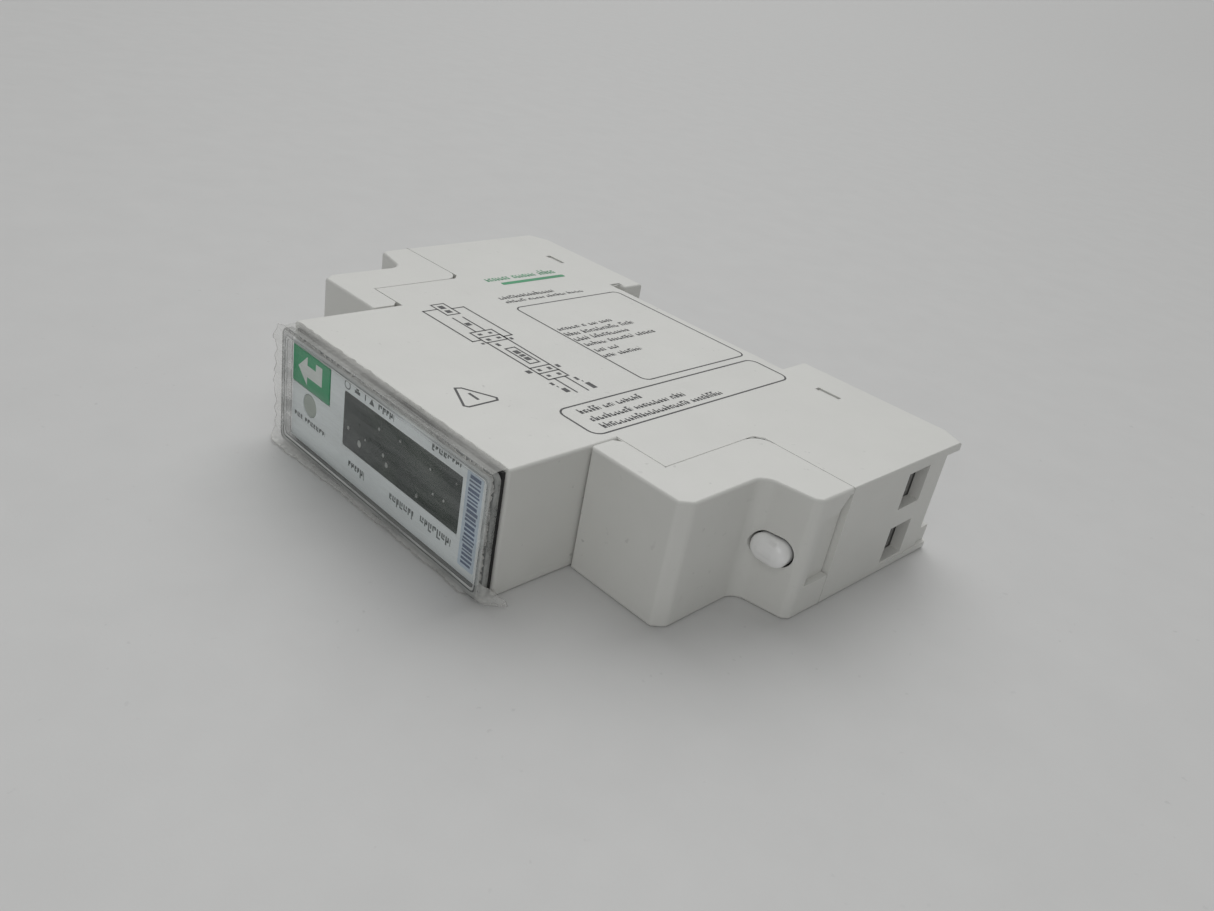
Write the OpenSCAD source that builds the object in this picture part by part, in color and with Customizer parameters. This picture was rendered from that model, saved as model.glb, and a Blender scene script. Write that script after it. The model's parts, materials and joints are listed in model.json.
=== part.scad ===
// One-module DIN rail energy meter, lying on its side as it would on a bench.
// X runs along the meter's height, Y from the display to the rail, Z across its width.
// Inside the modules, y = 0 is the front edge of the housing; seat() moves a piece
// into the part's frame, whose origin is under the middle of the bounding box.

/* [Body] */
// Width of the module across the rail
module_w = 17.5; // [17.5:0.1:18]
// Distance of the near side of the front section from the middle
front_x = 22.5; // [22.3:0.1:22.8]
// Distance of the far side of the front section from the middle
far_front_x = 23.6; // [22.8:0.1:23.8]
// Length over the shoulders of the terminal covers
shoulder_len = 76; // [75:0.5:78]
// Length over the step of the terminal covers
step_len = 91; // [90:0.5:92]
// Length of the body at the rail
body_len = 92.5; // [92:0.5:94]
// Depth of the front section, from its front edge to the shoulder
shoulder_y = 12.5; // [12:0.1:13]
// Depth at which the step starts, at its inner corner
step_y = 26.8; // [26:0.1:27]
// How far the step leans back towards the end face
step_lean = 1.4; // [0:0.1:1.6]
// Depth of the seam between the near terminal cover and the housing
near_seam_y = 35.2; // [34.8:0.1:35.4]
// Depth of the seam between the far terminal cover and the housing
far_seam_y = 33.4; // [33.2:0.1:34]
// Depth of the back of the side walls
back_y = 63.5; // [63:0.5:64]
// Thickness of the outer walls
wall = 1.2; // [1:0.1:1.3]
// Gap at the seams of the covers
seam_gap = 0.15; // [0.1:0.05:0.2]

/* [Rail recess] */
// Depth of the face that rests on the rail
seat_y = 57.8; // [57.5:0.1:58]
// Distance of the fixed side of the recess from the middle
recess_far_x = 17.6; // [17.5:0.1:17.8]
// Distance of the latch side of the recess from the middle
recess_near_x = 17.9; // [17.8:0.1:18.2]
// Depth of the undercut that holds the rail's edge
hook_undercut = 1.6; // [1.2:0.1:1.8]
// Travel of the latch when it is pulled out
latch_travel = 2.5; // [2:0.1:2.8]

/* [Display] */
// How far the clear window stands in front of the housing
window_out = 2.4; // [2.2:0.1:2.6]
// Length of the display's visible area
view_len = 24.8; // [24:0.1:25]
// Height of the display's visible area
view_h = 7.9; // [7.5:0.1:8.2]
// Place of the display along the front
view_x = 4.3; // [4:0.1:4.5]
// Place of the display across the front
view_z = 10.1; // [9.9:0.1:10.2]
// Length of the scroll key
key_len = 9.2; // [9:0.1:9.2]
// Height of the scroll key
key_h = 5.3; // [5:0.1:5.3]
// Place of the scroll key along the front
key_x = -16.3; // [-16.3:0.1:-16]
// Place of the scroll key across the front
key_z = 12.8; // [12.7:0.1:12.8]
// Travel of the scroll key
key_travel = 0.5; // [0.3:0.1:0.5]
// Diameter of the round pulse lamp lens
lamp_d = 3.4; // [3:0.1:3.4]

/* [Terminals] */
// Distance of the terminal screws from the middle
screw_x = 40.4; // [40.3:0.1:40.5]
// Spacing of the two terminals of an end
terminal_pitch = 8.5; // [8.4:0.1:8.6]
// Side of the square wire entries
entry = 5.5; // [5.4:0.1:5.6]
// Depth of the middle of the wire entries
entry_y = 51.75; // [51.7:0.05:51.8]
// Diameter of the terminal screws
screw_d = 3.5; // [3:0.1:3.5]
// Travel of a clamp cage from open to closed
cage_travel = 3.5; // [3:0.1:3.5]

/* [Cover plug] */
// Length of the oblong plug that locks a terminal cover
plug_len = 5.6; // [5.4:0.1:5.8]
// Height of the oblong plug
plug_h = 3.9; // [3.8:0.1:4]
// Distance of the plug from the middle of the meter
plug_x = 41.3; // [41.2:0.1:41.4]

/* [Hidden] */
$fn = 48;

// Frame
eps = 0.01;
depth_mid = (back_y - window_out) / 2;
mid_z = module_w / 2;

// Derived outline values
shoulder_x = shoulder_len / 2;
step_x = step_len / 2;
end_x = body_len / 2;
plate_z = module_w - wall;
end_wall_y = seat_y + wall;
back_chamfer_x = 3.2;
back_chamfer_y = 1.7;
tongue_x = 30.6;
tongue_y = 17.1;
tongue_r = 2.5;
housing_corner_r = 1.1;
shoulder_chamfer = 1.2;
shoulder_chamfer_y = 1.6;
outer_corner = 0.7;
fillet_r = 2.2;
lean_angle = atan(step_lean / (step_x - shoulder_x));
fillet_y = step_y - fillet_r * (1 - sin(lean_angle)) / cos(lean_angle);
near_lip_y = 47.5;
lip_recess = 0.3;
snap_x = [27.05, -33.05];
snap_y = 56.3;
snap_t = 0.8;
snap_half = 1.9;
foot_x = [43.9, 45.7];
foot_h = 2.6;

// Derived inside values
cavity_front_x = front_x - wall;
cavity_end_x = 44.3;
chamber_x = 36.7;

// Terminals
line_z = mid_z - terminal_pitch / 2;
neutral_z = mid_z + terminal_pitch / 2;
block_x0 = 36.9;
block_x1 = 44;
block_y0 = 29.9;
block_y1 = 57.4;
chamber_y0 = 41.5;
chamber_y1 = 56.1;
chamber_x0 = 37.3;
chamber_x1 = 43.5;
chamber_half_h = 2.95;
cage_half_w = 2.8;
cage_half_h = 2.8;
cage_side = 0.65;
cage_top_y = 45.4;
cage_top_t = 2.2;
cage_web_y = entry_y + entry / 2 + 0.1;
cage_web_t = 1.2;
tab_y = 47.8;
tab_t = 1.2;
tab_h = 4;
head_y = 33.6;
head_t = 2.4;
head_r = 2.3;
screw_r = screw_d / 2;
fit = 0.05;
head_fit = 0.1;
plug_shank_r = 1.3;
plug_shank_y = 38;
plug_out = 1.3;
plug_gap = 0.2;

// Display stack, from the front
window_t = 0.9;
flange_back = -0.45;
plate_front = -window_out + window_t;
plate_t = 0.5;
plate_back = plate_front + plate_t;
glass_t = 1.7;
glass_back = plate_back + glass_t;
board_front = 4;
board_t = 1.2;
board_back = board_front + board_t;
glass_len = 28;
glass_h = 12.4;
glass_z = 9.1;
leg_len = 4;
leg_t = 0.6;
leg_x = [-13, 13];
leg_z = [wall + 0.1, plate_z - 0.1 - leg_t];
lamp_x = key_x - 0.2;
lamp_z = 7.9;
key_gap = 0.15;

// Main board
main_z = 4.4;
main_top = main_z + board_t;
main_front_y = 7.4;
main_back_y = 42;
post_d = 3;
post_places = [[26.4, 39.6], [18.4, 10]];

// Seat on the rail
seat_far_x = recess_far_x - 0.2;
seat_near_x = 15.2;

// Latch
latch_x0 = 15.4;
latch_x1 = 43;
latch_y0 = 59.3;
latch_y1 = 62.2;
latch_z0 = 4.3;
latch_z1 = 13.2;
guide_x0 = 23.2;
guide_x1 = 40;
guide_y = latch_y1 + 0.3;
guide_gap = 0.15;
guide_lip = 1;
peg_x = 34.6;
peg_t = 1.2;
spring_x0 = 23.3;
spring_r = 1.2;
spring_wire_r = 0.22;
spring_z = mid_z;

// Plastic and metal colours
shell_white = [0.87, 0.87, 0.84];
block_grey = [0.72, 0.73, 0.72];
copper = [0.78, 0.48, 0.30];
steel = [0.72, 0.73, 0.75];
board_green = [0.10, 0.36, 0.20];
chip_black = [0.09, 0.09, 0.10];

// Moves a piece measured from the housing's front edge into the part's frame
module seat() { translate([0, -depth_mid, 0]) children(); }

// Turns a piece made for the near end into the one for the far end
module far_end() { mirror([1, 0, 0]) children(); }

// A box from its low corner to its high corner
module block(low, high) { translate(low) cube(high - low); }

// A round bar along Y, from y0 to y1
module bar_y(x, z, r, y0, y1) {
    translate([x, y0, z]) rotate([-90, 0, 0]) cylinder(r = r, h = y1 - y0);
}

// An oblong bar along Y, longer in X, from y0 to y1
module oblong_y(x, z, len, h, y0, y1) {
    straight = (len - h) / 2;
    bar_y(x - straight, z, h / 2, y0, y1);
    bar_y(x + straight, z, h / 2, y0, y1);
    block([x - straight, y0, z - h / 2], [x + straight, y1, z + h / 2]);
}

// Distance of the end face from the middle, at a depth
function end_face_x(y) = step_x + (end_x - step_x) * (y - step_y) / (back_y - step_y);

// Outline of a terminal cover at the near end
module cover_outline(front, seam) {
    cover_x = front + seam_gap;
    cover_y = seam - seam_gap / 2;
    polygon([
        [cover_x, shoulder_y],
        [shoulder_x - shoulder_chamfer, shoulder_y],
        [shoulder_x, shoulder_y + shoulder_chamfer_y],
        [shoulder_x, step_y],
        [step_x - outer_corner, step_y + step_lean - outer_corner * tan(lean_angle)],
        [step_x, step_y + step_lean + outer_corner],
        [end_face_x(seam), cover_y],
        [tongue_x + tongue_r, cover_y],
        [tongue_x, cover_y - tongue_r],
        [tongue_x, tongue_y],
        [cover_x + 1, tongue_y],
        [cover_x, tongue_y - 1]
    ]);
    // rounded corner of the tongue
    translate([tongue_x + tongue_r, cover_y - tongue_r]) circle(r = tongue_r);
    // rounded inner corner between the shoulder's side and the step
    difference() {
        polygon([
            [shoulder_x - eps, fillet_y],
            [shoulder_x + fillet_r, fillet_y],
            [shoulder_x + fillet_r * (1 - sin(lean_angle)), fillet_y + fillet_r * cos(lean_angle) + eps],
            [shoulder_x - eps, step_y + eps]
        ]);
        translate([shoulder_x + fillet_r, fillet_y]) circle(r = fillet_r);
    }
}

// Hollow of a terminal cover, open towards the housing
module cover_hollow_outline(front) {
    polygon([
        [front + seam_gap + wall * 0.8, shoulder_y + wall],
        [shoulder_x - wall, shoulder_y + wall],
        [shoulder_x - wall, step_y + wall],
        [step_x - wall, step_y + step_lean + wall * 0.85],
        [step_x - wall, back_y],
        [0, back_y],
        [0, tongue_y + 1],
        [front + seam_gap + wall * 0.8, tongue_y + 1]
    ]);
}

// Outline of the housing on one side of the middle, without the cover's part
module core_outline(front, seam) {
    polygon([
        [-1, 0],
        [front, 0],
        [front, tongue_y + seam_gap],
        [tongue_x - seam_gap, tongue_y + seam_gap],
        [tongue_x - seam_gap, seam + seam_gap / 2 - housing_corner_r],
        [tongue_x - seam_gap + housing_corner_r, seam + seam_gap / 2],
        [end_face_x(seam), seam + seam_gap / 2],
        [end_x, back_y - back_chamfer_y],
        [end_x - back_chamfer_x, back_y],
        [-1, back_y]
    ]);
}

// Inside of the housing on one side of the middle
module cavity_outline(front, seam) {
    polygon([
        [-1, -1],
        [front - wall, -1],
        [front - wall, tongue_y + seam_gap + wall],
        [tongue_x - seam_gap - wall, tongue_y + seam_gap + wall],
        [tongue_x - seam_gap - wall, seam + wall],
        [chamber_x, seam + wall],
        [chamber_x, seam - 1],
        [cavity_end_x, seam - 1],
        [cavity_end_x, seat_y],
        [recess_near_x + wall, seat_y],
        [recess_near_x + wall, seat_y - wall],
        [-1, seat_y - wall]
    ]);
}

module both_sides() {
    children();
    mirror([1, 0, 0]) children();
}

// The housing's whole outline, whose two ends differ a little
module housing_outline() {
    core_outline(front_x, near_seam_y);
    far_end() core_outline(far_front_x, far_seam_y);
}

module housing_cavity() {
    cavity_outline(front_x, near_seam_y);
    far_end() cavity_outline(far_front_x, far_seam_y);
}

// Recess for the rail, with the undercut of the fixed hook at the far side
module rail_recess() {
    relief_y = seat_y - 0.1;
    block([-seat_far_x, seat_y, -1], [seat_near_x, back_y + 1, module_w + 1]);
    // the floor is a little deeper beside the face that rests on the rail
    block([-recess_far_x, relief_y, -1], [-seat_far_x, back_y + 1, module_w + 1]);
    block([-recess_far_x - hook_undercut, relief_y, -1], [-seat_far_x, seat_y + 1.5, module_w + 1]);
    block([seat_near_x, relief_y, -1], [recess_near_x, back_y + 1, module_w + 1]);
}

// Slots in the side wall where the lid's snap arms show
module snap_slots(grow) {
    for (x = snap_x)
        block([x - snap_half - grow, snap_y - grow, plate_z - 1],
              [x + snap_half + grow, snap_y + snap_t + grow, module_w + 1]);
}

// Posts that hold the main board, from z0 to z1
module board_posts(z0, z1) {
    for (side = [-1, 1], place = post_places)
        translate([side * place[0], place[1], z0]) cylinder(d = post_d, h = z1 - z0);
}

// ---- Housing ----

module main_housing() {
    color(shell_white) seat() {
        difference() {
            translate([0, 0, wall]) linear_extrude(module_w - wall) housing_outline();
            translate([0, 0, -1]) linear_extrude(plate_z + 1) housing_cavity();
            rail_recess();
            // channel behind the end walls: the latch runs in the near one
            block([recess_near_x - 1, end_wall_y, -1], [end_x + 1, back_y + 1, plate_z]);
            block([-end_x - 1, end_wall_y, -1], [-recess_far_x - 3, back_y + 1, plate_z]);
            // square wire entries through the end walls
            for (side = [-1, 1], z = [line_z, neutral_z])
                translate([side * end_x, entry_y, z]) cube([6, entry, entry], center = true);
            // the end walls stand a little inside the side walls near the rail
            for (side = [-1, 1])
                translate([side * (end_x + 2 - lip_recess), (near_lip_y + back_y) / 2 + 1, mid_z])
                    cube([4, back_y - near_lip_y + 2, module_w - 2 * wall], center = true);
            snap_slots(0.1);
        }
        // posts that press the main board on to the lid's posts
        board_posts(main_top, plate_z + eps);
        // guide over the latch and the peg that its spring bears on
        block([guide_x0, end_wall_y - eps, latch_z1 + guide_gap], [guide_x1, back_y, plate_z + eps]);
        block([guide_x0, guide_y, latch_z1 - guide_lip], [guide_x1, back_y, plate_z + eps]);
        block([peg_x, end_wall_y - eps, spring_z - 1.5], [peg_x + peg_t, 61.6, spring_z + 1.5]);
    }
}

module side_lid() {
    color(shell_white) seat() {
        difference() {
            linear_extrude(wall) housing_outline();
            rail_recess();
        }
        board_posts(wall - eps, main_z);
        // snap arms that reach the slots in the side wall opposite
        for (x = snap_x)
            block([x - snap_half + 0.2, snap_y, wall - eps],
                  [x + snap_half - 0.2, snap_y + snap_t, module_w - 0.25]);
        // guide under the latch, and the small foot at its outer end
        block([guide_x0, end_wall_y, wall - eps], [guide_x1, back_y, latch_z0 - guide_gap]);
        block([guide_x0, guide_y, wall - eps], [guide_x1, back_y, latch_z0 + guide_lip]);
        block([foot_x[0], end_wall_y, wall - eps], [foot_x[1], latch_y1 - 0.4, wall + foot_h]);
    }
}

// ---- Terminal covers ----

// Notch in the edge of the end face, narrower towards the upper side
module cover_notch(seam) {
    low = 4.7;
    high = 13.7;
    depth = 0.75;
    front_y = seam - 5.1;
    translate([step_x - depth, 0, 0]) rotate([90, 0, 90]) linear_extrude(4) polygon([
        [front_y, low],
        [front_y, high],
        [front_y + 0.5, high + 0.5],
        [seam - 2.2, high + 0.9],
        [seam - 0.7, high + 3],
        [seam + 1, high + 3],
        [seam + 1, low]
    ]);
}

module terminal_cover(front, seam) {
    difference() {
        linear_extrude(module_w) cover_outline(front, seam);
        translate([0, 0, wall]) linear_extrude(module_w - 2 * wall) cover_hollow_outline(front);
        cover_notch(seam);
        oblong_y(plug_x, mid_z, plug_len + plug_gap, plug_h + plug_gap, step_y - 2, step_y + 6);
    }
}

module near_cover() { color(shell_white) seat() terminal_cover(front_x, near_seam_y); }
module far_cover() { color(shell_white) seat() far_end() terminal_cover(far_front_x, far_seam_y); }

module cover_plug() {
    head_front = step_y + step_lean / 2 - plug_out;
    nick_r = 0.9;
    difference() {
        oblong_y(plug_x, mid_z, plug_len, plug_h, head_front, block_y0 - 0.4);
        // thumbnail notch in the top edge
        translate([plug_x, head_front, mid_z + plug_h / 2 + nick_r / 3]) sphere(r = nick_r);
    }
    bar_y(plug_x, mid_z, plug_shank_r, block_y0 - 0.5, plug_shank_y);
    bar_y(plug_x, mid_z, plug_shank_r * 0.7, plug_shank_y - eps, plug_shank_y + 1);
}

module near_plug() { color("white") seat() cover_plug(); }
module far_plug() { color("white") seat() far_end() cover_plug(); }

// ---- Main terminals ----

module terminal_block() {
    difference() {
        union() {
            block([block_x0, block_y0, wall + 0.2], [block_x1, block_y1, plate_z - 0.2]);
            // the part inside the housing fills its height
            block([block_x0, near_seam_y + 2, wall], [block_x1, block_y1, plate_z]);
        }
        for (z = [line_z, neutral_z]) {
            block([chamber_x0, chamber_y0, z - chamber_half_h],
                  [chamber_x1, chamber_y1, z + chamber_half_h]);
            bar_y(screw_x, z, screw_r + fit, head_y, chamber_y0 + 1);
            bar_y(screw_x, z, head_r + head_fit, block_y0 - 1, head_y + head_t + fit);
            block([chamber_x1 - 1, entry_y - entry / 2, z - entry / 2],
                  [block_x1 + 1, entry_y + entry / 2, z + entry / 2]);
            block([block_x0 - 1, tab_y, z - tab_h / 2],
                  [chamber_x0 + 1, tab_y + tab_t, z + tab_h / 2]);
        }
        bar_y(plug_x, mid_z, plug_shank_r + fit, block_y0 - 1, plug_shank_y + 2);
    }
}

module near_terminal_block() { color(block_grey) seat() terminal_block(); }
module far_terminal_block() { color(block_grey) seat() far_end() terminal_block(); }

// A slotted and crossed terminal screw
module terminal_screw(z) {
    slot_w = 0.8;
    slot_depth = 1.2;
    difference() {
        union() {
            bar_y(screw_x, z, head_r, head_y, head_y + head_t);
            bar_y(screw_x, z, screw_r, head_y + head_t - eps, tab_y - 0.1);
        }
        translate([screw_x, head_y, z]) cube([head_r * 1.6, slot_depth * 2, slot_w], center = true);
        translate([screw_x, head_y, z]) cube([slot_w, slot_depth * 2, head_r * 1.6], center = true);
    }
}

// A clamp cage: the screw lifts it and it draws the wire against the bar
module clamp_cage(z) {
    cage_y1 = cage_web_y + cage_web_t;
    difference() {
        block([screw_x - cage_half_w, cage_top_y, z - cage_half_h],
              [screw_x + cage_half_w, cage_y1, z + cage_half_h]);
        block([screw_x - cage_half_w - 1, cage_top_y + cage_top_t, z - cage_half_h + cage_side],
              [screw_x + cage_half_w + 1, cage_web_y, z + cage_half_h - cage_side]);
        bar_y(screw_x, z, screw_r + fit, cage_top_y - 1, cage_top_y + cage_top_t + 1);
    }
}

module near_line_screw() { color(steel) seat() terminal_screw(line_z); }
module near_neutral_screw() { color(steel) seat() terminal_screw(neutral_z); }
module far_line_screw() { color(steel) seat() far_end() terminal_screw(line_z); }
module far_neutral_screw() { color(steel) seat() far_end() terminal_screw(neutral_z); }
module near_line_cage() { color("silver") seat() clamp_cage(line_z); }
module near_neutral_cage() { color("silver") seat() clamp_cage(neutral_z); }
module far_line_cage() { color("silver") seat() far_end() clamp_cage(line_z); }
module far_neutral_cage() { color("silver") seat() far_end() clamp_cage(neutral_z); }

// ---- Current path ----

shunt_half = 6;

// Copper bar from a terminal's tab to the shunt
module line_bar() {
    block([shunt_half, tab_y, line_z - tab_h / 2],
          [chamber_x1 - 0.4, tab_y + tab_t, line_z + tab_h / 2]);
}

module near_line_bar() { color(copper) seat() line_bar(); }
module far_line_bar() { color(copper) seat() far_end() line_bar(); }

module shunt_element() {
    color([0.62, 0.56, 0.50]) seat() difference() {
        block([-shunt_half, tab_y, line_z - tab_h / 2], [shunt_half, tab_y + tab_t, line_z + tab_h / 2]);
        // trimming notch in the resistive strip
        block([-1, tab_y - 1, line_z + tab_h / 2 - 0.8], [1, tab_y + tab_t + 1, line_z + tab_h]);
    }
}

module neutral_bar() {
    color(copper) seat()
        block([-chamber_x1 + 0.4, tab_y, neutral_z - tab_h / 2],
              [chamber_x1 - 0.4, tab_y + tab_t, neutral_z + tab_h / 2]);
}

// Three stiff wires from the bars to the main board
module sense_leads() {
    lead_r = 0.4;
    lead_y = 40.6;
    color([0.75, 0.2, 0.15]) seat() {
        for (x = [-shunt_half - 0.6, shunt_half + 0.6])
            bar_y(x, main_top + lead_r, lead_r, lead_y, tab_y);
        // the one from the neutral bar bends down to the board
        bar_y(0, neutral_z, lead_r, lead_y, tab_y);
        translate([0, lead_y, main_top]) cylinder(r = lead_r, h = neutral_z - main_top);
        translate([0, lead_y, neutral_z]) sphere(r = lead_r);
    }
}

// ---- Signal terminals ----

signal_x0 = tongue_x - seam_gap;
signal_x1 = 36.3;
signal_y0 = 15.2;
signal_y1 = 28.6;
signal_pitch = 4.4;

module signal_block() {
    difference() {
        block([signal_x0, signal_y0, wall + 0.3], [signal_x1, signal_y1, plate_z - 0.3]);
        for (i = [-1, 0, 1]) {
            z = mid_z + i * signal_pitch;
            // wire funnel and the release slot beside it
            block([signal_x0 + 0.8, signal_y0 - 1, z - 1.3], [signal_x0 + 3.2, signal_y1 - 1.2, z + 1.3]);
            block([signal_x0 + 3.9, signal_y0 - 1, z - 0.9], [signal_x0 + 4.7, signal_y0 + 4, z + 0.9]);
        }
    }
}

// Bent contact springs inside the signal terminals
module signal_clips() {
    for (i = [-1, 0, 1]) {
        z = mid_z + i * signal_pitch;
        block([signal_x0 + 0.9, signal_y0 + 6, z - 1], [signal_x0 + 1.2, signal_y1 - 1.3, z + 1]);
        block([signal_x0 + 0.9, signal_y1 - 1.6, z - 1], [signal_x0 + 3.1, signal_y1 - 1.3, z + 1]);
        translate([signal_x0 + 2.9, signal_y1 - 1.5, z - 1]) rotate([0, 0, -14])
            block([-0.3, -5, 0], [0, 0, 2]);
    }
}

module near_signal_block() { color([0.25, 0.45, 0.32]) seat() signal_block(); }
module far_signal_block() { color([0.25, 0.45, 0.32]) seat() far_end() signal_block(); }
module near_signal_clips() { color(steel) seat() signal_clips(); }
module far_signal_clips() { color(steel) seat() far_end() signal_clips(); }

// ---- Front ----

window_x = front_x - 0.2;
window_margin = 0.3;
skirt = 0.8;
plate_x = 21.1;
plate_low = 1.5;
plate_high = 15.9;

// Opening for the scroll key, from y0 to y1
module key_opening(y0, y1) {
    half_len = key_len / 2 + key_gap;
    half_h = key_h / 2 + key_gap;
    block([key_x - half_len, y0, key_z - half_h], [key_x + half_len, y1, key_z + half_h]);
}

module front_window() {
    root = plate_back + 0.25;
    color([0.8, 0.85, 0.86, 0.35]) seat() {
        difference() {
            block([-window_x, -window_out, window_margin],
                  [window_x, flange_back, module_w - window_margin]);
            block([-window_x + skirt, plate_front, window_margin + skirt],
                  [window_x - skirt, 0, module_w - window_margin - skirt]);
            key_opening(-window_out - 1, 0);
        }
        // snap legs that hold the window in the housing
        for (x = leg_x, z = leg_z)
            block([x - leg_len / 2, root, z], [x + leg_len / 2, board_front - 0.3, z + leg_t]);
        for (x = leg_x, z = [window_margin + skirt - eps, leg_z[1]])
            block([x - leg_len / 2, root, z],
                  [x + leg_len / 2, flange_back, z + leg_t + 0.2 + eps]);
    }
}

module window_gasket() {
    inset = 0.5;
    ring = 0.6;
    color([0.10, 0.10, 0.10]) seat() difference() {
        block([-front_x + inset, flange_back, inset], [front_x - inset, 0, module_w - inset]);
        block([-front_x + inset + ring, -1, inset + ring],
              [front_x - inset - ring, 1, module_w - inset - ring]);
    }
}

module face_plate() {
    color([0.80, 0.83, 0.83]) seat() difference() {
        block([-plate_x, plate_front, plate_low], [plate_x, plate_back, plate_high]);
        block([view_x - view_len / 2, plate_front - 1, view_z - view_h / 2],
              [view_x + view_len / 2, plate_back + 1, view_z + view_h / 2]);
        key_opening(plate_front - 1, plate_back + 1);
        bar_y(lamp_x, lamp_z, lamp_d / 2, plate_front - 1, plate_back + 1);
    }
}

key_front = plate_front - 0.1;
key_back = 1.2;
plunger_back = 3.1;

module scroll_key() {
    color([0.05, 0.50, 0.28]) seat() {
        block([key_x - key_len / 2, key_front, key_z - key_h / 2],
              [key_x + key_len / 2, plate_back + 0.1, key_z + key_h / 2]);
        bar_y(key_x, key_z - 0.4, 1.4, plate_back, key_back);
    }
}

// The switch's plunger, which the key pushes
module key_plunger() {
    color([0.15, 0.15, 0.16]) seat() bar_y(key_x, key_z - 0.4, 0.9, key_back, plunger_back);
}

module key_switch() {
    color(steel) seat() difference() {
        block([key_x - 2.3, 2, key_z - 2.7], [key_x + 2.3, board_front, key_z + 1.9]);
        bar_y(key_x, key_z - 0.4, 0.9 + fit, 1, plunger_back + key_travel + 0.1);
    }
}

module pulse_lens() {
    color([0.62, 0.66, 0.62]) seat() bar_y(lamp_x, lamp_z, lamp_d / 2, plate_front, 2.9);
}

module pulse_led() {
    color([0.75, 0.15, 0.12]) seat()
        block([lamp_x - 1, 2.9, lamp_z - 1], [lamp_x + 1, board_front, lamp_z + 1]);
}

module lcd_glass() {
    color([0.05, 0.07, 0.06]) seat()
        block([view_x - glass_len / 2, plate_back, glass_z - glass_h / 2],
              [view_x + glass_len / 2, glass_back, glass_z + glass_h / 2]);
}

module lcd_frame() {
    rim = 1;
    color([0.80, 0.80, 0.78]) seat() difference() {
        block([view_x - glass_len / 2 - rim, plate_back, glass_z - glass_h / 2 - rim],
              [view_x + glass_len / 2 + rim, board_front, glass_z + glass_h / 2 + rim]);
        block([view_x - glass_len / 2, plate_back - 1, glass_z - glass_h / 2],
              [view_x + glass_len / 2, board_front + 1, glass_z + glass_h / 2]);
        // room for the window's snap legs
        for (z = [0, leg_z[1] - 0.3])
            block([leg_x[1] - leg_len / 2 - 0.3, plate_back - 1, z],
                  [leg_x[1] + leg_len / 2 + 0.3, board_front + 1, z + wall + leg_t + 0.4]);
    }
}

strip_h = 1;

module backlight_diffuser() {
    color([0.93, 0.94, 0.93]) seat()
        block([view_x - glass_len / 2 + 0.2, glass_back, glass_z - glass_h / 2 + strip_h + 0.6],
              [view_x + glass_len / 2 - 0.2, glass_back + 1.6, glass_z + glass_h / 2 - strip_h - 0.6]);
}

module backlight_leds() {
    color("white") seat() for (x = [-8, -3, 3, 8])
        block([view_x + x - 0.9, glass_back + 1.6, glass_z - 0.6],
              [view_x + x + 0.9, board_front, glass_z + 0.6]);
}

// Conductive rubber strips between the display glass and its board
module contact_strips() {
    color([0.35, 0.35, 0.36]) seat()
        for (z = [glass_z - glass_h / 2 + 0.2, glass_z + glass_h / 2 - strip_h - 0.2])
            block([view_x - glass_len / 2 + 0.4, glass_back, z],
                  [view_x + glass_len / 2 - 0.4, board_front, z + strip_h]);
}

module display_board() {
    color(board_green) seat()
        block([-20.6, board_front, wall + 0.4], [20.6, board_back, plate_z - 0.4]);
}

module display_chip() {
    color(chip_black) seat() block([-6, board_back, 9], [1, board_back + 1, 15]);
}

// ---- Main board ----

module board_header() {
    pin = 0.6;
    pins = 10;
    pitch = 2;
    middle_x = 4;
    half_len = pins / 2 * pitch;
    header_h = 2.4;
    color(chip_black) seat() difference() {
        block([middle_x - half_len, board_back, main_top],
              [middle_x + half_len, board_back + 3.6, main_top + header_h]);
        for (i = [1:pins - 1])
            translate([middle_x - half_len + i * pitch, board_back + 2.8, main_top + header_h])
                cube([pin, 3, pin * 2], center = true);
    }
}

module main_board() {
    color(board_green) seat() translate([0, 0, main_z]) linear_extrude(board_t)
        difference() {
            both_sides() polygon([
                [-1, main_front_y],
                [cavity_front_x - 0.5, main_front_y],
                [cavity_front_x - 0.5, tongue_y + seam_gap + wall + 0.5],
                [tongue_x - seam_gap - wall - 0.5, tongue_y + seam_gap + wall + 0.5],
                [tongue_x - seam_gap - wall - 0.5, main_back_y],
                [-1, main_back_y]
            ]);
            // isolation slot between the mains and signal sides
            translate([-14, 25]) square([12, 1.2]);
        }
}

// A flat chip with rows of leads along two sides
module chip(low, size, leads) {
    lead_w = 0.4;
    block(low, low + size);
    for (i = [0:leads - 1]) {
        x = low[0] + size[0] * (i + 0.5) / leads;
        block([x - lead_w / 2, low[1] - 0.9, low[2]],
              [x + lead_w / 2, low[1] + size[1] + 0.9, low[2] + 0.3]);
    }
}

module processor_chip() { color(chip_black) seat() chip([4, 14, main_top], [10, 10, 1.4], 11); }
module metering_chip() { color(chip_black) seat() chip([-5, 33.2, main_top], [7.5, 4.6, 1.6], 8); }
module bus_driver_chip() { color(chip_black) seat() chip([19, 20, main_top], [5, 4, 1.5], 4); }

module clock_crystal() {
    color(steel) seat() oblong_y(-0.6, main_top + 1.2, 4.8, 2.4, 14, 21);
}

module optocouplers() {
    color(chip_black) seat()
        for (x = [-24, -19, 18.5]) chip([x, 27.5, main_top], [4.4, 5, 2.2], 2);
}

module bridge_rectifier() {
    color(chip_black) seat() chip([-18.5, 34.6, main_top], [6.5, 5.2, 2.6], 2);
}

module film_capacitor() {
    color([0.92, 0.74, 0.22]) seat()
        block([4.4, 30.5, main_top], [17.4, 36.5, main_top + 9.4]);
}

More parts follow.
